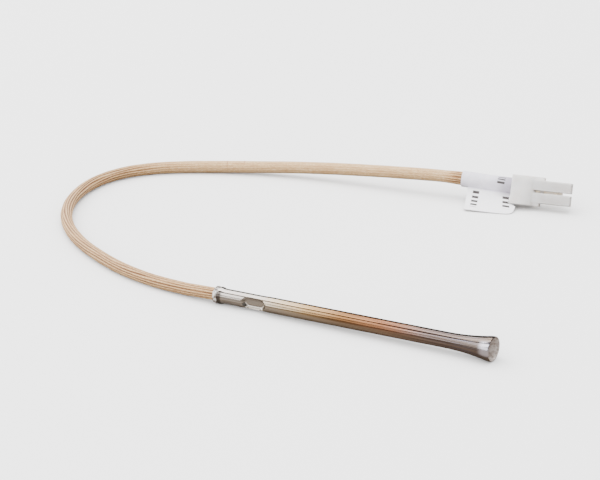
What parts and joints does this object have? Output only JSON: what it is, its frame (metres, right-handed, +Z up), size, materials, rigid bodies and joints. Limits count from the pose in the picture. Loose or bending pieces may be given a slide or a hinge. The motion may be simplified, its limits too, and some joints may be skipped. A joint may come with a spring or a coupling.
{
  "type": "flame sensor probe",
  "caption": "Slim steel probe with a crimped rear end and a flared open mouth, on a braided glass-sleeved lead with a flag label and a small nylon plug.",
  "frame": {"origin": "centre of the sheath's footprint on the surface that the part lies on, measured without the free lead and what is on it", "axes": "+X along the sheath towards its flared mouth, +Z up, the lead curving round on the +Y side"},
  "size_m": [0.1766, 0.1268, 0.011],
  "materials": {
    "sheath_steel": "polished, heat tinted towards the mouth",
    "glass_fibre": "matt woven glass",
    "cement": "matt cement",
    "alumina": "fine matt",
    "nickel": "satin nickel",
    "element_alloy": "oxidised wire",
    "braided_glass": "lacquered glass braid",
    "lead_insulation": "glass wrap",
    "lead_core": "plated stranded copper",
    "label_paper": "coated paper",
    "natural_nylon": "natural translucent moulding",
    "contact_brass": "tinned brass"
  },
  "bodies": {
    "probe_and_lead": {"sheath_tube": "sheath_steel", "sleeve_root": "glass_fibre", "splice_sleeve": "glass_fibre", "rear_seal": "cement", "ceramic_insulator": "alumina", "front_seal": "cement", "splice_a": "nickel", "splice_b": "nickel", "element_wire_a": "element_alloy", "element_wire_b": "element_alloy", "sensing_bead": "element_alloy", "outer_sleeve": "braided_glass", "lead_insulation_a": "lead_insulation", "lead_insulation_b": "lead_insulation", "lead_core_a": "lead_core", "lead_core_b": "lead_core", "flag_label": "label_paper", "connector_housing": "natural_nylon", "crimp_contact_a": "contact_brass", "crimp_contact_b": "contact_brass"},
    "latch": {"latch_lever": "natural_nylon"}
  },
  "joints": [
    {"name": "latch_flex", "type": "hinge", "parent": "probe_and_lead", "child": "latch", "pos_m": [0.0102, 0.11997, 0.00434], "axis": [-0.0748, 0.3998, 0.9135], "range_deg": [0, 7], "stiffness_Nm_per_rad": 0.05}
  ]
}
